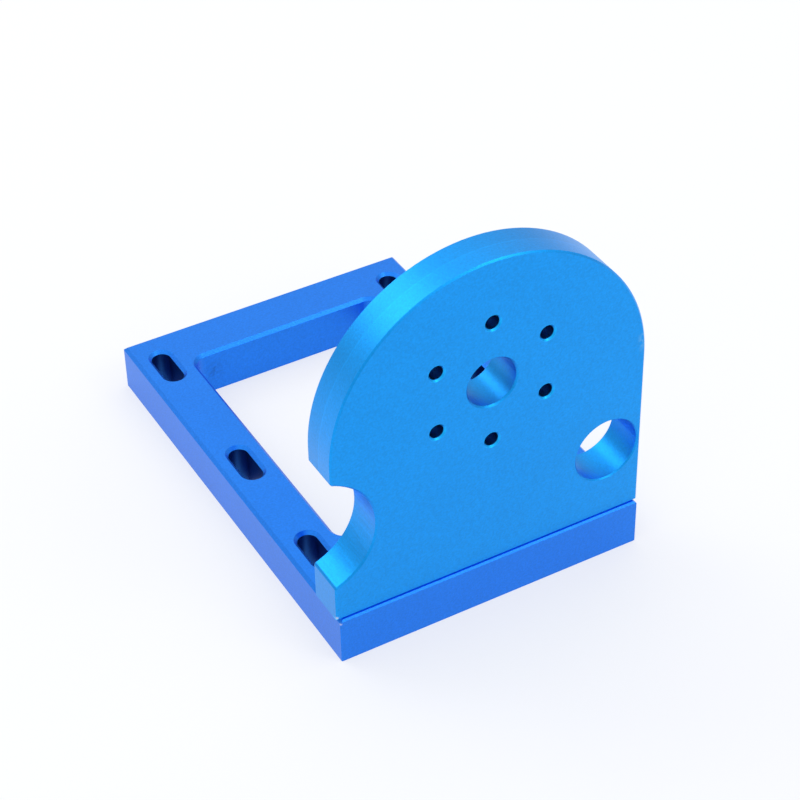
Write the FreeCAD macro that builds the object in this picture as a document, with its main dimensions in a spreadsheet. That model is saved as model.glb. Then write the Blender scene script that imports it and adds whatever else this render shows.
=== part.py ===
"""Gearmotor bracket: a slotted base frame with an upright motor plate screwed onto its front bar.

X runs across the bracket, Y from the front to the back and Z up, in millimetres. The origin lies
on the standing surface, under the middle of the bracket's outer box.
"""
import FreeCAD
import Part
import Sketcher

import os
from math import cos, pi, radians, sin
from FreeCAD import Vector

PARTS_FOLDER = "parts"
NEAR = 1e-4             # two lengths closer than this count as equal
UP = Vector(0, 0, 1)
START, END, CENTRE = 1, 2, 3            # how a sketch names the points of a line, arc or circle
ORIGIN = (-1, 1)                        # a sketch's own origin
ACROSS_AXIS, UPRIGHT_AXIS = -1, -2      # a sketch's own two axes
FULL_TURN = 360                         # degrees
HEX_SIDES = 6

# rules that several pieces share
FIRST_SCREW = "(Dims.screw_count - 1) * Dims.screw_pitch / 2"       # left of the upright's middle
SCREW_ROW = "Dims.set_back + Dims.upright_thickness / 2"            # behind the frame's front edge

# alias, value, what it measures
DIMENSIONS = [
    ("frame_width", 77.0, "base frame, across"),
    ("frame_length", 113.2, "base frame, front to back"),
    ("frame_thickness", 12.0, "base frame, height of its bars"),
    ("front_bar", 24.0, "wide bar under the upright"),
    ("rear_bar", 13.2, "bar behind the window"),
    ("side_bar", 12.6, "slotted bars beside the window"),
    ("window_corner", 3.5, "cutter radius in the window's corners"),
    ("slot_width", 4.8, "mounting slots"),
    ("slot_length", 12.2, "mounting slots, end to end"),
    ("front_slot", 23.2, "front edge to a front slot's centre"),
    ("middle_slot", 58.0, "front edge to a middle slot's centre"),
    ("rear_slot", 100.7, "front edge to a rear slot's centre"),
    ("top_chamfer", 0.8, "edges of the frame's top face, all but the front one"),
    ("front_chamfer", 0.4, "front edge of the frame's top face"),
    ("corner_break", 0.2, "the frame's standing corners"),
    ("upright_width", 77.7, "upright plate, across"),
    ("upright_thickness", 10.0, "upright plate, front to back"),
    ("head_centre", 42.0, "centre of the round head above the foot"),
    ("upright_break", 0.4, "edges of the upright's outline and foot"),
    ("set_back", 0.6, "upright's front face behind the frame's front edge"),
    ("side_shift", 0.15, "frame's middle right of the upright's middle"),
    ("bore_height", 49.7, "centre of the gearmotor's boss bore above the foot"),
    ("bore_diameter", 12.0, "bore for the gearmotor's boss"),
    ("bolt_circle", 31.0, "pitch circle of the gearmotor's screws"),
    ("bolt_hole", 3.3, "clearance for an M3 screw"),
    ("bolt_count", 6, "holes on the pitch circle"),
    ("hole_chamfer", 0.4, "mouths of the boss bore and the bolt holes"),
    ("notch_radius", 15.2, "round notch in the left edge"),
    ("notch_outset", 4.9, "notch's centre outside the left edge"),
    ("notch_height", 23.7, "notch's centre above the foot"),
    ("side_bore_diameter", 16.0, "bore beside the right edge"),
    ("side_bore_offset", 29.85, "side bore's centre from the middle"),
    ("side_bore_height", 18.5, "side bore's centre above the foot"),
    ("side_bore_chamfer", 0.3, "mouths of the side bore"),
    ("screw_count", 3, "M4 cap screws that hold the upright"),
    ("screw_pitch", 20.0, "between neighbouring cap screws"),
    ("screw_diameter", 4.0, "M4 thread, left plain"),
    ("screw_length", 20.0, "cap screw below its head"),
    ("screw_passage", 4.5, "clearance hole through the frame"),
    ("screw_head", 7.0, "cap screw's head, across"),
    ("screw_head_height", 4.0, "cap screw's head, along its axis"),
    ("screw_chamfer", 0.4, "rim of the head and tip of the screw"),
    ("head_recess", 8.0, "counterbore for the head, across"),
    ("head_recess_depth", 4.6, "counterbore for the head"),
    ("tapped_depth", 14.0, "screw holes in the upright's foot"),
    ("socket_flats", 3.0, "hex socket, across its flats"),
    ("socket_depth", 2.0, "hex socket"),
]


def make_sheet(document):
    """Write the driving dimensions, a row each: the meaning, and the value with its alias."""
    sheet = document.addObject("Spreadsheet::Sheet", "Dims")
    for row, (alias, value, meaning) in enumerate(DIMENSIONS, start=1):
        sheet.set(f"A{row}", meaning)
        sheet.set(f"B{row}", str(value))
        sheet.setAlias(f"B{row}", alias)
    document.recompute()
    return sheet


# ---- sketching ----

def make_body(document, label, across, along, height):
    """An empty body, placed by three rules that read the sheet."""
    body = document.addObject("PartDesign::Body", label)
    body.Label = label
    for axis, rule in zip("xyz", (across, along, height)):
        body.setExpression(f"Placement.Base.{axis}", rule)
    return body


def add_sketch(body, name, plane_role, shift=("0", "0")):
    """An empty sketch on one of the body's origin planes, its own origin shifted within it or off it."""
    sketch = body.newObject("Sketcher::SketchObject", name)
    plane = next(item for item in body.Origin.OriginFeatures if item.Role == plane_role)
    sketch.AttachmentSupport = [(plane, "")]
    sketch.MapMode = "FlatFace"
    for axis, rule in zip("yz", shift):
        sketch.setExpression(f"AttachmentOffset.Base.{axis}", rule)
    return sketch


def value_of(sketch, rule):
    """What a rule comes to now, as a plain number."""
    return float(sketch.evalExpression(rule))


def drive(sketch, kind, places, name, rule):
    """Add a dimension that follows a rule."""
    index = sketch.addConstraint(Sketcher.Constraint(kind, *places, value_of(sketch, rule)))
    sketch.renameConstraint(index, name)
    sketch.setExpression(f"Constraints.{name}", rule)


def locate(sketch, geometry, point, name, across, up):
    """Hold a point at rules measured from the sketch's origin; a leading minus means left of it."""
    if across == "0":
        sketch.addConstraint(Sketcher.Constraint("PointOnObject", geometry, point, UPRIGHT_AXIS))
    elif across.startswith("-"):
        drive(sketch, "DistanceX", (geometry, point, *ORIGIN), f"{name}_left", across[1:])
    else:
        drive(sketch, "DistanceX", (*ORIGIN, geometry, point), f"{name}_right", across)
    drive(sketch, "DistanceY", (*ORIGIN, geometry, point), f"{name}_up", up)


def draw_circle(sketch, name, across, up, diameter):
    """A circle with its centre held from the sketch's origin."""
    centre = Vector(value_of(sketch, across), value_of(sketch, up), 0)
    circle = sketch.addGeometry(Part.Circle(centre, UP, value_of(sketch, diameter) / 2))
    locate(sketch, circle, CENTRE, name, across, up)
    drive(sketch, "Diameter", (circle,), f"{name}_diameter", diameter)


def draw_loop(sketch, corners):
    """Lines from corner to corner and back to the first, joined end to start."""
    lines = []
    for corner, following in zip(corners, corners[1:] + corners[:1]):
        lines.append(sketch.addGeometry(Part.LineSegment(corner, following)))
    for line, following in zip(lines, lines[1:] + lines[:1]):
        sketch.addConstraint(Sketcher.Constraint("Coincident", line, END, following, START))
    return lines


def draw_rectangle(sketch, width, near_edge, length):
    """A rectangle centred on the upright axis, its near edge a given way up that axis."""
    half = value_of(sketch, width) / 2
    low = value_of(sketch, near_edge)
    high = low + value_of(sketch, length)
    corners = [Vector(x, y, 0) for x, y in ((-half, low), (half, low), (half, high), (-half, high))]
    near, right, far, left = draw_loop(sketch, corners)
    sketch.addConstraint(Sketcher.Constraint("Symmetric", near, START, near, END, UPRIGHT_AXIS))
    sketch.addConstraint(Sketcher.Constraint("Horizontal", far))
    for line in (right, left):
        sketch.addConstraint(Sketcher.Constraint("Vertical", line))
    drive(sketch, "DistanceX", (near, START, near, END), "width", width)
    drive(sketch, "DistanceY", (right, START, right, END), "length", length)
    if near_edge == "0":
        sketch.addConstraint(Sketcher.Constraint("PointOnObject", near, START, ACROSS_AXIS))
    else:
        drive(sketch, "DistanceY", (*ORIGIN, near, START), "near_edge", near_edge)


def draw_slot(sketch, name, across, middle):
    """A round-ended slot that runs up the sketch, held by the centre of its near end."""
    radius = value_of(sketch, "Dims.slot_width / 2")
    near_rule = f"{middle} - (Dims.slot_length - Dims.slot_width) / 2"
    x = value_of(sketch, across)
    near = Vector(x, value_of(sketch, near_rule), 0)
    far = near + Vector(0, value_of(sketch, "Dims.slot_length - Dims.slot_width"), 0)
    side = Vector(radius, 0, 0)
    near_arc = sketch.addGeometry(Part.ArcOfCircle(Part.Circle(near, UP, radius), pi, 2 * pi))
    right = sketch.addGeometry(Part.LineSegment(near + side, far + side))
    far_arc = sketch.addGeometry(Part.ArcOfCircle(Part.Circle(far, UP, radius), 0, pi))
    left = sketch.addGeometry(Part.LineSegment(far - side, near - side))
    loop = [near_arc, right, far_arc, left]
    for edge, following in zip(loop, loop[1:] + loop[:1]):
        sketch.addConstraint(Sketcher.Constraint("Tangent", edge, END, following, START))
    sketch.addConstraint(Sketcher.Constraint("Vertical", right))
    sketch.addConstraint(Sketcher.Constraint("Equal", near_arc, far_arc))
    locate(sketch, near_arc, CENTRE, name, across, near_rule)
    drive(sketch, "DistanceY", (near_arc, CENTRE, far_arc, CENTRE), f"{name}_run",
          "Dims.slot_length - Dims.slot_width")
    drive(sketch, "Radius", (near_arc,), f"{name}_radius", "Dims.slot_width / 2")


# ---- features ----

def pad(body, name, sketch, length, reverse=False):
    """Raise a sketch into a solid."""
    feature = body.newObject("PartDesign::Pad", name)
    feature.Profile = sketch
    feature.Reversed = reverse
    feature.setExpression("Length", length)
    body.Document.recompute()
    return feature


def pocket(body, name, sketch, depth=None, reverse=False):
    """Cut a sketch to a depth, or right through, and make sure that it cut something."""
    before = body.Shape.Volume
    feature = body.newObject("PartDesign::Pocket", name)
    feature.Profile = sketch
    feature.Reversed = reverse
    if depth is None:
        feature.Type = "ThroughAll"
    else:
        feature.setExpression("Length", depth)
    body.Document.recompute()
    if body.Shape.Volume > before - NEAR:
        raise RuntimeError(f"{name} cuts nothing")
    return feature


def counterbored_hole(body, name, sketch):
    """A screw passage through the body, with a recess for the head on the sketch's side."""
    feature = body.newObject("PartDesign::Hole", name)
    feature.Profile = sketch
    feature.Reversed = True
    feature.ThreadType = "None"
    feature.DepthType = "ThroughAll"
    feature.HoleCutType = "Counterbore"
    feature.HoleCutCustomValues = True
    feature.setExpression("Diameter", "Dims.screw_passage")
    feature.setExpression("HoleCutDiameter", "Dims.head_recess")
    feature.setExpression("HoleCutDepth", "Dims.head_recess_depth")
    body.Document.recompute()
    return feature


def repeat_in_line(body, name, feature, sketch):
    """Repeat a screw's hole along the sketch's X, one for each cap screw."""
    pattern = body.newObject("PartDesign::LinearPattern", name)
    pattern.Originals = [feature]
    pattern.Direction = (sketch, ["H_Axis"])
    pattern.setExpression("Length", "(Dims.screw_count - 1) * Dims.screw_pitch")
    pattern.setExpression("Occurrences", "Dims.screw_count")
    body.Tip = pattern
    body.Document.recompute()
    return pattern


def repeat_in_ring(body, name, feature, sketch, count):
    """Repeat a hole in a full ring about the sketch's own origin."""
    pattern = body.newObject("PartDesign::PolarPattern", name)
    pattern.Originals = [feature]
    pattern.Axis = (sketch, ["N_Axis"])
    pattern.Angle = FULL_TURN
    pattern.setExpression("Occurrences", count)
    body.Tip = pattern
    body.Document.recompute()
    return pattern


def mirror_across(body, name, feature):
    """Repeat a feature on the other side of the body's middle plane."""
    mirror = body.newObject("PartDesign::Mirrored", name)
    mirror.Originals = [feature]
    mirror.MirrorPlane = (next(p for p in body.Origin.OriginFeatures if p.Role == "YZ_Plane"), [""])
    body.Tip = mirror
    body.Document.recompute()
    return mirror


def edges_where(feature, wanted):
    """Names of the feature's edges that a test picks."""
    return [f"Edge{i}" for i, edge in enumerate(feature.Shape.Edges, start=1) if wanted(edge)]


def lies_at(edge, axis, level):
    """Whether an edge lies wholly at one level of X, Y or Z."""
    box = edge.BoundBox
    return abs(getattr(box, f"{axis}Min") - level) < NEAR and abs(getattr(box, f"{axis}Max") - level) < NEAR


def runs_along(edge, axis):
    """Whether an edge is a straight line along X, Y or Z."""
    others = [name for name in "XYZ" if name != axis]
    return all(getattr(edge.BoundBox, f"{name}Length") < NEAR for name in others)


def is_circle(edge, diameter):
    """Whether an edge is a full circle of a given diameter."""
    if not edge.Closed or not isinstance(edge.Curve, Part.Circle):
        return False
    return abs(2 * edge.Curve.Radius - diameter) < NEAR


def dress(body, kind, name, base, edges, property_name, rule):
    """Chamfer or fillet the named edges of a feature."""
    feature = body.newObject(f"PartDesign::{kind}", name)
    feature.Base = (base, edges)
    feature.setExpression(property_name, rule)
    body.Document.recompute()
    return feature


# ---- the pieces ----

def make_frame(document, sheet):
    """The base frame: a bar all round a window, three slots a side and the screws' recesses."""
    body = make_body(document, "base_frame", "Dims.side_shift", "-Dims.frame_length / 2", "0")

    outline = add_sketch(body, "FrameOutline", "XY_Plane")
    draw_rectangle(outline, "Dims.frame_width", "0", "Dims.frame_length")
    pad(body, "FrameBlock", outline, "Dims.frame_thickness")

    opening = add_sketch(body, "WindowOutline", "XY_Plane")
    draw_rectangle(opening, "Dims.frame_width - 2 * Dims.side_bar", "Dims.front_bar",
                   "Dims.frame_length - Dims.front_bar - Dims.rear_bar")
    window = pocket(body, "Window", opening, reverse=True)
    window_corners = edges_where(window, lambda edge: runs_along(edge, "Z") and in_window(edge, sheet))
    dress(body, "Fillet", "WindowCorners", window, window_corners, "Radius", "Dims.window_corner")

    slots_outline = add_sketch(body, "SlotsOutline", "XY_Plane")
    for name in ("front_slot", "middle_slot", "rear_slot"):
        draw_slot(slots_outline, name, "-(Dims.frame_width - Dims.side_bar) / 2", f"Dims.{name}")
    slots = pocket(body, "LeftSlots", slots_outline, reverse=True)
    slots = mirror_across(body, "RightSlots", slots)

    top = edges_where(slots, lambda edge: on_top(edge, sheet) and not lies_at(edge, "Y", 0))
    topped = dress(body, "Chamfer", "TopEdges", slots, top, "Size", "Dims.top_chamfer")
    front = edges_where(topped, lambda edge: on_top(edge, sheet) and lies_at(edge, "Y", 0))
    fronted = dress(body, "Chamfer", "FrontTopEdge", topped, front, "Size", "Dims.front_chamfer")
    corners = edges_where(fronted, lambda edge: runs_along(edge, "Z") and is_outer(edge, sheet))
    dress(body, "Chamfer", "StandingCorners", fronted, corners, "Size", "Dims.corner_break")

    first_screw = add_sketch(body, "ScrewPlace", "XY_Plane")
    draw_circle(first_screw, "screw", f"-({FIRST_SCREW} + Dims.side_shift)", SCREW_ROW, "Dims.screw_passage")
    recess = counterbored_hole(body, "ScrewRecess", first_screw)
    repeat_in_line(body, "ScrewRecesses", recess, first_screw)
    return body


def on_top(edge, sheet):
    """Whether an edge lies in the frame's top face."""
    return lies_at(edge, "Z", sheet.frame_thickness)


def is_outer(edge, sheet):
    """Whether an edge lies in one of the frame's four outer faces."""
    half = sheet.frame_width / 2
    return (lies_at(edge, "X", -half) or lies_at(edge, "X", half)
            or lies_at(edge, "Y", 0) or lies_at(edge, "Y", sheet.frame_length))


def in_window(edge, sheet):
    """Whether an edge stands clear of the frame's outer faces, on the window's walls."""
    return abs(edge.BoundBox.XMin) < sheet.frame_width / 2 - sheet.side_bar + NEAR


def make_upright(document, sheet):
    """The motor plate: round head, notch on the left, bore on the right, six bolt holes round a bore."""
    body = make_body(document, "upright_plate", "0", "Dims.set_back - Dims.frame_length / 2",
                     "Dims.frame_thickness")

    outline = add_sketch(body, "UprightOutline", "XZ_Plane")
    draw_tombstone(outline)
    pad(body, "UprightBlock", outline, "Dims.upright_thickness", reverse=True)

    bite = add_sketch(body, "NotchOutline", "XZ_Plane")
    draw_circle(bite, "notch", "-(Dims.upright_width / 2 + Dims.notch_outset)", "Dims.notch_height",
                "2 * Dims.notch_radius")
    notch = pocket(body, "Notch", bite)
    rims = edges_where(notch, lambda edge: on_plate_face(edge, sheet))
    notch_lips = edges_where(notch, lambda edge: runs_along(edge, "Y") and edge.BoundBox.ZMin > NEAR)
    dress(body, "Chamfer", "OutlineEdges", notch, rims + notch_lips, "Size", "Dims.upright_break")

    boss = add_sketch(body, "BossOutline", "XZ_Plane")
    draw_circle(boss, "boss", "0", "Dims.bore_height", "Dims.bore_diameter")
    pocket(body, "BossBore", boss)

    bolt = add_sketch(body, "BoltOutline", "XZ_Plane", shift=("Dims.bore_height", "0"))
    draw_circle(bolt, "bolt", "0", "Dims.bolt_circle / 2", "Dims.bolt_hole")
    bolt_hole = pocket(body, "BoltHole", bolt)
    ring = repeat_in_ring(body, "BoltHoles", bolt_hole, bolt, "Dims.bolt_count")
    mouths = []
    for size in (sheet.bore_diameter, sheet.bolt_hole):
        mouths += edges_where(ring, lambda edge: is_circle(edge, size) and on_plate_face(edge, sheet))
    dress(body, "Chamfer", "HoleMouths", ring, mouths, "Size", "Dims.hole_chamfer")

    side = add_sketch(body, "SideBoreOutline", "XZ_Plane")
    draw_circle(side, "side_bore", "Dims.side_bore_offset", "Dims.side_bore_height",
                "Dims.side_bore_diameter")
    side_bore = pocket(body, "SideBore", side)
    side_mouths = edges_where(side_bore, lambda edge: is_circle(edge, sheet.side_bore_diameter))
    dress(body, "Chamfer", "SideBoreMouths", side_bore, side_mouths, "Size", "Dims.side_bore_chamfer")

    first_screw = add_sketch(body, "ThreadPlace", "XY_Plane")
    draw_circle(first_screw, "thread", f"-({FIRST_SCREW})", "Dims.upright_thickness / 2",
                "Dims.screw_diameter")
    thread = pocket(body, "ThreadHole", first_screw, depth="Dims.tapped_depth", reverse=True)
    repeat_in_line(body, "ThreadHoles", thread, first_screw)
    return body


def on_plate_face(edge, sheet):
    """Whether an edge lies in the upright's front or back face."""
    return lies_at(edge, "Y", 0) or lies_at(edge, "Y", sheet.upright_thickness)


def draw_tombstone(sketch):
    """The upright's outline: a straight foot and sides, and a half-round head as wide as the foot."""
    half = value_of(sketch, "Dims.upright_width / 2")
    shoulder = value_of(sketch, "Dims.head_centre")
    foot = sketch.addGeometry(Part.LineSegment(Vector(-half, 0, 0), Vector(half, 0, 0)))
    right = sketch.addGeometry(Part.LineSegment(Vector(half, 0, 0), Vector(half, shoulder, 0)))
    head_circle = Part.Circle(Vector(0, shoulder, 0), UP, half)
    head = sketch.addGeometry(Part.ArcOfCircle(head_circle, 0, pi))
    left = sketch.addGeometry(Part.LineSegment(Vector(-half, shoulder, 0), Vector(-half, 0, 0)))
    for edge, following in ((left, foot), (foot, right)):
        sketch.addConstraint(Sketcher.Constraint("Coincident", edge, END, following, START))
    for edge, following in ((right, head), (head, left)):
        sketch.addConstraint(Sketcher.Constraint("Tangent", edge, END, following, START))
    for side in (right, left):
        sketch.addConstraint(Sketcher.Constraint("Vertical", side))
    sketch.addConstraint(Sketcher.Constraint("PointOnObject", foot, START, ACROSS_AXIS))
    sketch.addConstraint(Sketcher.Constraint("Symmetric", foot, START, foot, END, UPRIGHT_AXIS))
    drive(sketch, "DistanceX", (foot, START, foot, END), "width", "Dims.upright_width")
    drive(sketch, "DistanceY", (*ORIGIN, head, CENTRE), "head_centre", "Dims.head_centre")


def make_screw(document, sheet, label, index):
    """An M4 cap screw standing on its head, its bearing face at the body's own origin."""
    across = f"{index} * Dims.screw_pitch - {FIRST_SCREW}"
    along = f"{SCREW_ROW} - Dims.frame_length / 2"
    body = make_body(document, label, across, along, "Dims.head_recess_depth")

    head_face = add_sketch(body, f"{label}_HeadOutline", "XY_Plane")
    draw_disc(head_face, "Dims.screw_head")
    pad(body, f"{label}_Head", head_face, "Dims.screw_head_height", reverse=True)
    shank_face = add_sketch(body, f"{label}_ShankOutline", "XY_Plane")
    draw_disc(shank_face, "Dims.screw_diameter")
    blank = pad(body, f"{label}_Shank", shank_face, "Dims.screw_length")

    ends = edges_where(blank, lambda edge: edge.Closed and is_screw_end(edge, sheet))
    blank = dress(body, "Chamfer", f"{label}_Ends", blank, ends, "Size", "Dims.screw_chamfer")

    socket = add_sketch(body, f"{label}_SocketOutline", "XY_Plane", shift=("0", "-Dims.screw_head_height"))
    draw_hexagon(socket, "Dims.socket_flats")
    pocket(body, f"{label}_Socket", socket, depth="Dims.socket_depth", reverse=True)
    return body


def is_screw_end(edge, sheet):
    """Whether an edge lies at the tip of the screw or at the far end of its head."""
    return lies_at(edge, "Z", sheet.screw_length) or lies_at(edge, "Z", -sheet.screw_head_height)


def draw_disc(sketch, diameter):
    """A circle about the sketch's origin."""
    disc = sketch.addGeometry(Part.Circle(Vector(0, 0, 0), UP, value_of(sketch, diameter) / 2))
    sketch.addConstraint(Sketcher.Constraint("Coincident", disc, CENTRE, *ORIGIN))
    drive(sketch, "Diameter", (disc,), "diameter", diameter)


def draw_hexagon(sketch, flats):
    """A regular hexagon about the sketch's origin, sized across its flats, with a flat at the right."""
    step = radians(FULL_TURN / HEX_SIDES)
    corner_radius = value_of(sketch, flats) / 2 / cos(step / 2)
    angles = [(index - 0.5) * step for index in range(HEX_SIDES)]
    corners = [Vector(corner_radius * cos(angle), corner_radius * sin(angle), 0) for angle in angles]
    lines = draw_loop(sketch, corners)
    ring = sketch.addGeometry(Part.Circle(Vector(0, 0, 0), UP, corner_radius), True)
    sketch.addConstraint(Sketcher.Constraint("Coincident", ring, CENTRE, *ORIGIN))
    for line in lines:
        sketch.addConstraint(Sketcher.Constraint("PointOnObject", line, START, ring))
    for line in lines[1:]:
        sketch.addConstraint(Sketcher.Constraint("Equal", lines[0], line))
    sketch.addConstraint(Sketcher.Constraint("Vertical", lines[0]))
    drive(sketch, "DistanceX", (*ORIGIN, lines[0], START), "half_flats", f"{flats} / 2")


# ---- checking and writing ----

def check_document(document, bodies):
    """Stop on any failed object, loose sketch, or piece that isn't one valid solid."""
    for item in document.Objects:
        if any(word in item.State for word in ("Invalid", "Error")):
            raise RuntimeError(f"{item.Label} failed")
        if item.isDerivedFrom("Sketcher::SketchObject") and not item.FullyConstrained:
            raise RuntimeError(f"{item.Label} isn't fully constrained")
    for body in bodies:
        if body.Shape.isNull() or not body.Shape.isValid() or len(body.Shape.Solids) != 1:
            raise RuntimeError(f"{body.Label} isn't one valid solid")


def write_parts(bodies):
    """Write each piece to a STEP file named after it."""
    os.makedirs(PARTS_FOLDER, exist_ok=True)
    for body in bodies:
        body.Shape.exportStep(os.path.join(PARTS_FOLDER, f"{body.Label}.step"))
        print(f"{body.Label}: {body.Shape.Volume / 1000:.2f} cm3, box {body.Shape.BoundBox}")


def main():
    document = FreeCAD.newDocument("GearmotorBracket")
    sheet = make_sheet(document)
    bodies = [make_frame(document, sheet), make_upright(document, sheet)]
    for index, side in enumerate(("left", "middle", "right")):
        bodies.append(make_screw(document, sheet, f"cap_screw_{side}", index))
    document.recompute()
    check_document(document, bodies)
    write_parts(bodies)


main()
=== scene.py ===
"""How the gearmotor bracket looks: two blue anodised pieces, their screws and a pale studio."""
from math import cos, pi, radians, sin

import bmesh
import bpy
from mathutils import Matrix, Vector


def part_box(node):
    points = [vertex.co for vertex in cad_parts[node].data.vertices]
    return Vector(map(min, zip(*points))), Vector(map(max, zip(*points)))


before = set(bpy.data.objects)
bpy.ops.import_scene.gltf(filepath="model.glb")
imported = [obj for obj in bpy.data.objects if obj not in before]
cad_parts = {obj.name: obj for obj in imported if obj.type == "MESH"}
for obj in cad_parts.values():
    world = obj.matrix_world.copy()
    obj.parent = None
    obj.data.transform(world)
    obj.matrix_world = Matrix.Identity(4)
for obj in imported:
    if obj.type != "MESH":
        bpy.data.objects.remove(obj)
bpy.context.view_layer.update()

MM = 0.001                      # one millimetre, in metres


# ---- the bracket's own measures, in millimetres ----

def corners(node):
    """A piece's lowest and highest corners."""
    low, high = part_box(node)
    return Vector(low) / MM, Vector(high) / MM


frame_low, frame_high = corners("base_frame")
FRAME_MIDDLE = (frame_low.x + frame_high.x) / 2
WINDOW_BACK = frame_high.y - 13.2
TOP_CHAMFER = 0.8
SLOT_OFFSET = 32.2              # from the frame's middle to a slot's
SLOT_RADIUS = 2.4
PAST_SLOTS = 54                 # from the frame's middle along Y, clear of every slot

plate_low, plate_high = corners("upright_plate")
PLATE_MIDDLE = (plate_low.x + plate_high.x) / 2
PLATE_HALFWAY = (plate_low.y + plate_high.y) / 2         # where two cutter passes meet on the rim, along which a painted highlight runs
PLATE_BREAK = 0.4               # chamfer round the outline and the foot
HEAD_RADIUS = (plate_high.x - plate_low.x) / 2
HEAD_CENTRE = plate_high.z - HEAD_RADIUS
NOTCH_RADIUS = 15.2
NOTCH_X = plate_low.x - 4.9
NOTCH_Z = plate_low.z + 23.7
BORE_RADIUS = 6.0
BORE_Z = plate_low.z + 49.7
BOLT_COUNT = 6
BOLT_CIRCLE_RADIUS = 15.5
BOLT_HOLE_RADIUS = 1.65
HOLE_CHAMFER = 0.4

SKIN = 0.05                     # how far past a wall's edge its own tone reaches
FADE = 0.15                     # over which that tone gives way to the next


# ---- colours ----

def shade(red, green, blue):
    """A colour given in 0 to 255 steps, as the light that a shader works with."""
    def to_light(step):
        part = step / 255
        if part <= 0.04045:
            return part / 12.92
        return ((part + 0.055) / 1.055) ** 2.4
    return (to_light(red), to_light(green), to_light(blue), 1.0)


VIOLET_BLUE = shade(28, 128, 238)
AZURE = shade(6, 154, 241)
PALE_AZURE = shade(120, 195, 245)
# near-white of the painted glints at the seam's front left corner
CORNER_GLINT_WHITE = shade(225, 228, 232)
BLACK_OXIDE = shade(38, 38, 42)
FLOOR_WHITE = shade(242, 242, 244)

COAT = 0.25                     # how much of the clear oxide's own gloss shows
COAT_ROUGHNESS = 0.4
DYE_ROUGHNESS = 0.4
DYE_BASE = 0.72                 # the dye's strength where the grain is lowest
GRAIN_TONE = 0.46               # added at the top of the peened grain
CLOUD_TONE = 0.08               # added at the top of the wider mottling
PEENING_DEPTH = 0.03            # millimetres


# ---- writing materials ----

MIX_SHARE, MIX_A, MIX_B, MIX_OUT = 0, 6, 7, 2       # a Mix node's sockets when it mixes colours


class Value:
    """An output of a material's nodes; arithmetic on it adds Math nodes."""

    def __init__(self, recipe, socket):
        self.recipe = recipe
        self.socket = socket

    def maths(self, operation, *operands):
        return self.recipe.add("Math", {"operation": operation}, dict(enumerate(operands)))

    def __add__(self, other):
        return self.maths("ADD", self, other)

    def __sub__(self, other):
        return self.maths("SUBTRACT", self, other)

    def __rsub__(self, other):
        return self.maths("SUBTRACT", other, self)

    def __mul__(self, other):
        return self.maths("MULTIPLY", self, other)

    def __pow__(self, power):
        return self.maths("POWER", self, power)

    def __abs__(self):
        return self.maths("ABSOLUTE", self)

    __radd__ = __add__
    __rmul__ = __mul__

    def at_most(self, limit):
        return self.maths("MINIMUM", self, limit)

    def rise(self, low, high):
        """0 below low, 1 above high, and a smooth step between."""
        return self.recipe.add("MapRange", {"interpolation_type": "SMOOTHSTEP"},
                               {"Value": self, "From Min": low, "From Max": high})

    def past(self, edge, fade):
        """0 up to an edge, rising to 1 over a fade beyond it."""
        return self.rise(edge, edge + fade)

    def within(self, edge, fade):
        """1 up to an edge, falling to 0 over a fade beyond it."""
        return 1 - self.past(edge, fade)

    def near(self, centre, reach):
        """1 at a value, falling to 0 at a reach from it."""
        return abs(self - centre).within(0, reach)

    def squared(self):
        return self * self


class Recipe:
    """A material under construction."""

    def __init__(self, name):
        self.material = bpy.data.materials.new(name)
        self.material.use_nodes = True
        self.tree = self.material.node_tree
        self.tree.nodes.clear()
        self.place = self.add("TexCoord", output="Object")

    def add(self, kind, settings=None, inputs=None, output=0):
        """Add a node: its settings first, then the values or links of its sockets."""
        node = self.tree.nodes.new(f"ShaderNode{kind}")
        for name, setting in (settings or {}).items():
            setattr(node, name, setting)
        for key, given in (inputs or {}).items():
            if isinstance(given, Value):
                self.tree.links.new(given.socket, node.inputs[key])
            else:
                node.inputs[key].default_value = given
        return Value(self, node.outputs[output])

    def where(self):
        """The surface's place along X, Y and Z, in millimetres."""
        in_mm = self.add("VectorMath", {"operation": "SCALE"}, {0: self.place, "Scale": 1 / MM})
        return [self.add("SeparateXYZ", inputs={0: in_mm}, output=axis) for axis in "XYZ"]

    def noise(self, grain, detail=2, stretch=(1, 1, 1)):
        """Smooth noise around 0.5 with grains about so many millimetres across."""
        place = self.add("VectorMath", {"operation": "MULTIPLY"}, {0: self.place, 1: stretch})
        return self.add("TexNoise", inputs={"Vector": place, "Scale": 1 / (grain * MM), "Detail": detail})

    def mix(self, share, first, second):
        """A colour that goes from the first to the second as the share goes from 0 to 1."""
        return self.add("Mix", {"data_type": "RGBA"},
                        {MIX_SHARE: share, MIX_A: first, MIX_B: second}, MIX_OUT)

    def brighten(self, colour, factor):
        """A colour times a number."""
        grey = self.add("CombineXYZ", inputs={0: factor, 1: factor, 2: factor})
        return self.add("Mix", {"data_type": "RGBA", "blend_type": "MULTIPLY"},
                        {MIX_SHARE: 1.0, MIX_A: colour, MIX_B: grey}, MIX_OUT)

    def bump(self, height, depth):
        """A surface normal shaken by a height; depth is how far it goes, in millimetres."""
        return self.add("Bump", inputs={"Height": height, "Distance": depth * MM, "Strength": 1.0})

    def finish(self, **inputs):
        """Close the material with one Principled shader."""
        named = {key.replace("_", " "): given for key, given in inputs.items()}
        return self.close(self.add("BsdfPrincipled", inputs=named))

    def close(self, surface):
        """Give the material its surface."""
        output = self.tree.nodes.new("ShaderNodeOutputMaterial")
        self.tree.links.new(surface.socket, output.inputs["Surface"])
        return self.material


def from_axis(x, z, axis_x, axis_z):
    """How far a place is from an axis along Y."""
    return ((x - axis_x).squared() + (z - axis_z).squared()) ** 0.5


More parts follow.
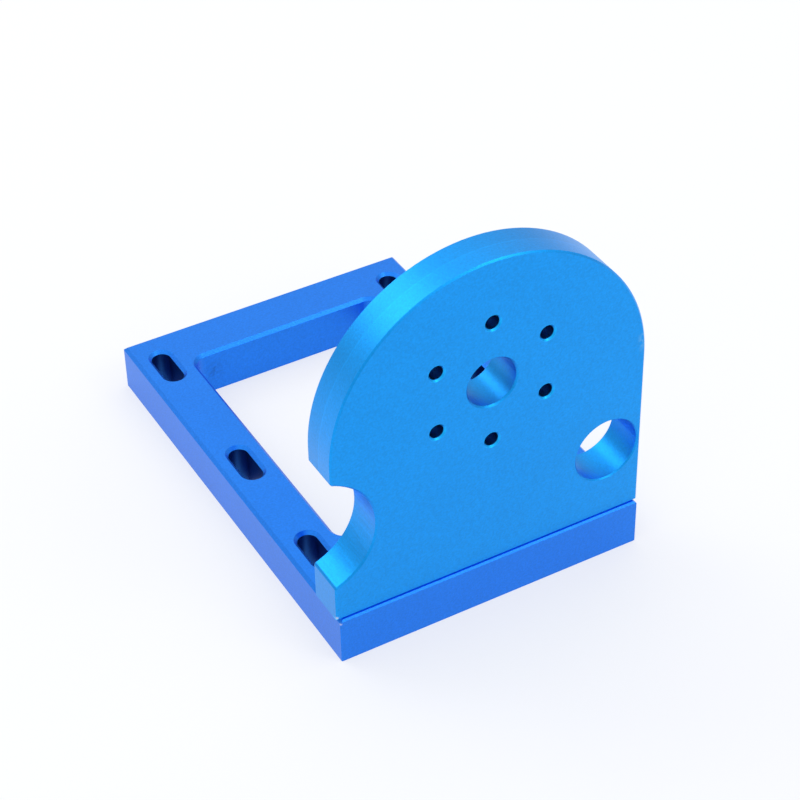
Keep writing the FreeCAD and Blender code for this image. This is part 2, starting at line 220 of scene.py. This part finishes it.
def blasted(recipe, colour):
    """Bead-blasted skin: even mottling in the dye and a fine peened grain."""
    peened = recipe.noise(0.45, detail=4)
    cloud = recipe.noise(14, detail=2)
    dye = recipe.brighten(colour, DYE_BASE + GRAIN_TONE * peened + CLOUD_TONE * cloud)
    return dye, peened


def anodised(recipe, dye, peened):
    """Dyed metal under the clear oxide skin."""
    return recipe.finish(Base_Color=dye, Metallic=1.0, Roughness=DYE_ROUGHNESS, Coat_Weight=COAT,
                         Coat_Roughness=COAT_ROUGHNESS, Normal=recipe.bump(peened, PEENING_DEPTH))


# ---- the frame's finish ----

def frame_corner_painted_glint(x, y, z):
    """A painted glint on the frame's top chamfer where the seam meets the front left corner."""
    return x.near(frame_low.x, 0.7) * y.near(frame_low.y, 0.7) * z.near(frame_high.z - 0.9, 0.4)


def slot_walls_painted_shade(x, y, z):
    """Where painted shade falls: the side bars' slots, between their chamfers and the underside."""
    across = abs(abs(x - FRAME_MIDDLE) - SLOT_OFFSET).within(SLOT_RADIUS + SKIN, FADE)
    below_chamfer = z.within(frame_high.z - TOP_CHAMFER - SKIN, FADE)
    above_underside = z.past(SKIN, fade=SKIN)
    return across * above_underside * below_chamfer * abs(y).within(PAST_SLOTS, fade=1)


def frame_anodised():
    """Violet blue dye, with a painted glint at the seam's corner, painted shade in the slots and faint
    darker blotches in the window.
    """
    recipe = Recipe("frame_anodised")
    dye, peened = blasted(recipe, VIOLET_BLUE)
    x, y, z = recipe.where()
    blotch = recipe.noise(1.6, detail=3)
    # painted glint on the frame's top chamfer at the front left corner
    dye = recipe.mix(0.7 * frame_corner_painted_glint(x, y, z) * blotch.rise(0.42, 0.55), dye, CORNER_GLINT_WHITE)
    # painted shade inside the slots
    dye = recipe.brighten(dye, 1 - 0.55 * slot_walls_painted_shade(x, y, z))
    # a darker blotchy patch low on the window's back wall
    dark_patch = y.near(WINDOW_BACK, 0.6) * x.near(-20, 3) * z.near(6, 4) * blotch.rise(0.45, 0.6)
    dye = recipe.brighten(dye, 1 - 0.3 * dark_patch)
    return anodised(recipe, dye, peened)


# ---- the upright's finish ----

def rim_painted_highlight(x, y, z):
    """Painted highlights on the head's rim: its front half a little brighter, and a painted highlight
    along the real crest line where the two cutter passes meet.
    """
    on_rim = from_axis(x, z, PLATE_MIDDLE, HEAD_CENTRE).past(HEAD_RADIUS - PLATE_BREAK + SKIN, fade=0.2)
    on_head = z.rise(HEAD_CENTRE - 8, HEAD_CENTRE)
    front_half_painted_highlight = 1 - y.rise(PLATE_HALFWAY - 0.1, PLATE_HALFWAY + 0.1)
    crest_line_painted_highlight = y.near(PLATE_HALFWAY, 0.3)
    # painted highlight on the rim's front half and along the crest line
    return 1 + on_rim * on_head * (0.06 * front_half_painted_highlight + 0.12 * crest_line_painted_highlight)


def holes_painted_shade_and_highlight(x, z):
    """Painted shade in the bolt holes and the bore between them, and painted highlights on the holes'
    chamfers.
    """
    inside = chamfers = 0
    for index in range(BOLT_COUNT):
        turn = 2 * pi * index / BOLT_COUNT
        from_hole = from_axis(x, z, PLATE_MIDDLE + BOLT_CIRCLE_RADIUS * sin(turn),
                              BORE_Z + BOLT_CIRCLE_RADIUS * cos(turn))
        outside = from_hole.past(BOLT_HOLE_RADIUS + 0.03, fade=0.06)
        inside = inside + (1 - outside)
        chamfers = chamfers + outside * from_hole.within(BOLT_HOLE_RADIUS + HOLE_CHAMFER, FADE)
    bore = from_axis(x, z, PLATE_MIDDLE, BORE_Z).within(BORE_RADIUS + SKIN, FADE)
    # painted shade inside the bolt holes and the bore, painted highlight on the hole chamfers
    return 1 - 0.5 * inside + 0.35 * chamfers - 0.15 * bore


def foot_chamfer_painted_highlight(y, z):
    """A painted highlight on the chamfer along the foot's front edge."""
    chamfer = z.within(plate_low.z + PLATE_BREAK - SKIN, FADE)
    return 1 + 0.7 * chamfer * y.within(plate_low.y + 1, fade=1)


def notch_tone(recipe, x, z):
    """Streaks that the cutter left along the notch's wall."""
    in_notch = from_axis(x, z, NOTCH_X, NOTCH_Z).within(NOTCH_RADIUS + 2 * SKIN, fade=0.2)
    streaks = recipe.noise(0.35, detail=3, stretch=(1, 0.05, 1))
    return 1 + in_notch * (0.4 * streaks - 0.18)


def upright_anodised():
    """Azure dye, with painted highlights on the rim, the hole chamfers and the foot chamfer, painted
    shade in the holes and bore, the cutter's streaks in the notch and a painted glint at the corner.
    """
    recipe = Recipe("upright_anodised")
    dye, peened = blasted(recipe, AZURE)
    x, y, z = recipe.where()
    blotch = recipe.noise(1.2, detail=3)
    # painted highlights on rim, hole chamfers and foot chamfer, painted shade in holes and bore, and the
    # notch's cutter streaks
    for tone in (rim_painted_highlight(x, y, z), holes_painted_shade_and_highlight(x, z), foot_chamfer_painted_highlight(y, z), notch_tone(recipe, x, z)):
        dye = recipe.brighten(dye, tone)
    # painted glint on the plate's foot chamfer at the front left corner
    plate_corner_painted_glint = x.near(plate_low.x, 0.9) * y.near(plate_low.y, 0.9) * z.near(plate_low.z + 0.6, 0.6)
    dye = recipe.mix(0.9 * plate_corner_painted_glint * blotch.rise(0.4, 0.5), dye, CORNER_GLINT_WHITE)
    # a paler blotchy patch along the front face's right edge
    pale_patch = x.near(plate_high.x - 1, 1.5) * y.near(plate_low.y, 0.6) * z.near(58, 4.5)
    dye = recipe.mix(0.5 * pale_patch * blotch.rise(0.4, 0.6), dye, PALE_AZURE)
    return anodised(recipe, dye, peened)


# ---- the screws' finish ----

def screw_steel():
    """Black oxide on the hidden cap screws."""
    recipe = Recipe("screw_steel")
    grime = recipe.noise(1.5, detail=3)
    return recipe.finish(Base_Color=recipe.brighten(BLACK_OXIDE, 0.8 + 0.4 * grime),
                         Metallic=1.0, Roughness=0.38 + 0.12 * grime)


def dress(node, material):
    """Give a piece its finish."""
    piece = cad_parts[node]
    piece.data.materials.clear()
    piece.data.materials.append(material)


# ---- studio ----

FLOOR_SIZE = 6.0
GLOW = 0.62                     # share of the floor's white that no shadow reaches
GLOW_TINT = shade(248, 250, 255)
STUDIO_CENTRE = Vector((0, 0, 40 * MM))

SENSOR_WIDTH = 36               # millimetres, as the lens
LENS = 103.975
LENS_SHIFT = (-0.01226, -0.03987)                        # in widths of the picture
CAMERA_PLACE = Vector((-198.880, -376.734, 361.131)) * MM
CAMERA_TURN = (51.9369, 0.8378, -29.8419)                # degrees about X, Y and Z


def lay_floor():
    """A white table that the bracket stands on."""
    mesh = bmesh.new()
    bmesh.ops.create_grid(mesh, x_segments=1, y_segments=1, size=FLOOR_SIZE / 2)
    data = bpy.data.meshes.new("studio_floor")
    mesh.to_mesh(data)
    mesh.free()
    floor = bpy.data.objects.new("studio_floor", data)
    bpy.context.scene.collection.objects.link(floor)
    data.materials.append(glowing_white())


def glowing_white():
    """Matt white that also glows a little to the eye and in reflections, so that shadows stay pale."""
    recipe = Recipe("studio_white")
    card = recipe.add("BsdfPrincipled", inputs={"Base Color": FLOOR_WHITE, "Roughness": 0.9})
    glow = recipe.add("Emission", inputs={"Color": GLOW_TINT, "Strength": 1.0})
    seen = 0
    for ray in ("Camera", "Glossy", "Transmission"):
        seen = seen + recipe.add("LightPath", output=f"Is {ray} Ray")
    return recipe.close(recipe.add("MixShader", inputs={0: GLOW * seen.at_most(1), 1: card, 2: glow}))


def soft_box(name, azimuth, height, distance, size, brightness):
    """A square soft light; azimuth runs clockwise from +Y seen from above, height is its elevation."""
    direction = Vector((sin(radians(azimuth)) * cos(radians(height)),
                        cos(radians(azimuth)) * cos(radians(height)), sin(radians(height))))
    data = bpy.data.lights.new(name, "AREA")
    data.size = size
    data.energy = brightness * pi * size ** 2
    lamp = bpy.data.objects.new(name, data)
    lamp.location = STUDIO_CENTRE + distance * direction
    lamp.rotation_euler = direction.to_track_quat("Z", "Y").to_euler()
    bpy.context.scene.collection.objects.link(lamp)


def fill_sky(low, high):
    """A white tent all round, brighter overhead than at the height of the table."""
    world = bpy.data.worlds.new("studio_tent")
    world.use_nodes = True
    nodes, links = world.node_tree.nodes, world.node_tree.links
    direction = nodes.new("ShaderNodeTexCoord")
    parts = nodes.new("ShaderNodeSeparateXYZ")
    climb = nodes.new("ShaderNodeMapRange")
    climb.interpolation_type = "SMOOTHSTEP"
    climb.inputs["To Min"].default_value = low
    climb.inputs["To Max"].default_value = high
    links.new(direction.outputs["Generated"], parts.inputs[0])
    links.new(parts.outputs["Z"], climb.inputs["Value"])
    links.new(climb.outputs["Result"], nodes["Background"].inputs["Strength"])
    nodes["Background"].inputs["Color"].default_value = (1, 1, 1, 1)
    bpy.context.scene.world = world


def set_camera():
    """A long lens from the front left, looking down at the bracket."""
    data = bpy.data.cameras.new("camera")
    data.sensor_width = SENSOR_WIDTH
    data.lens = LENS
    data.shift_x, data.shift_y = LENS_SHIFT
    data.clip_start = 0.01
    data.clip_end = 20
    camera = bpy.data.objects.new("camera", data)
    camera.location = CAMERA_PLACE
    camera.rotation_euler = [radians(turn) for turn in CAMERA_TURN]
    bpy.context.scene.collection.objects.link(camera)
    bpy.context.scene.camera = camera


dress("base_frame", frame_anodised())
dress("upright_plate", upright_anodised())
steel = screw_steel()
for side in ("left", "middle", "right"):
    dress(f"cap_screw_{side}", steel)

lay_floor()
fill_sky(low=0.62, high=1.15)
soft_box("window_light", azimuth=-28, height=39, distance=1.2, size=0.6, brightness=1.8)
soft_box("ceiling_light", azimuth=0, height=90, distance=1.5, size=1.0, brightness=0.8)
soft_box("fill_light", azimuth=146, height=41, distance=1.2, size=0.35, brightness=3.2)
set_camera()
bpy.context.scene.view_settings.view_transform = "Standard"
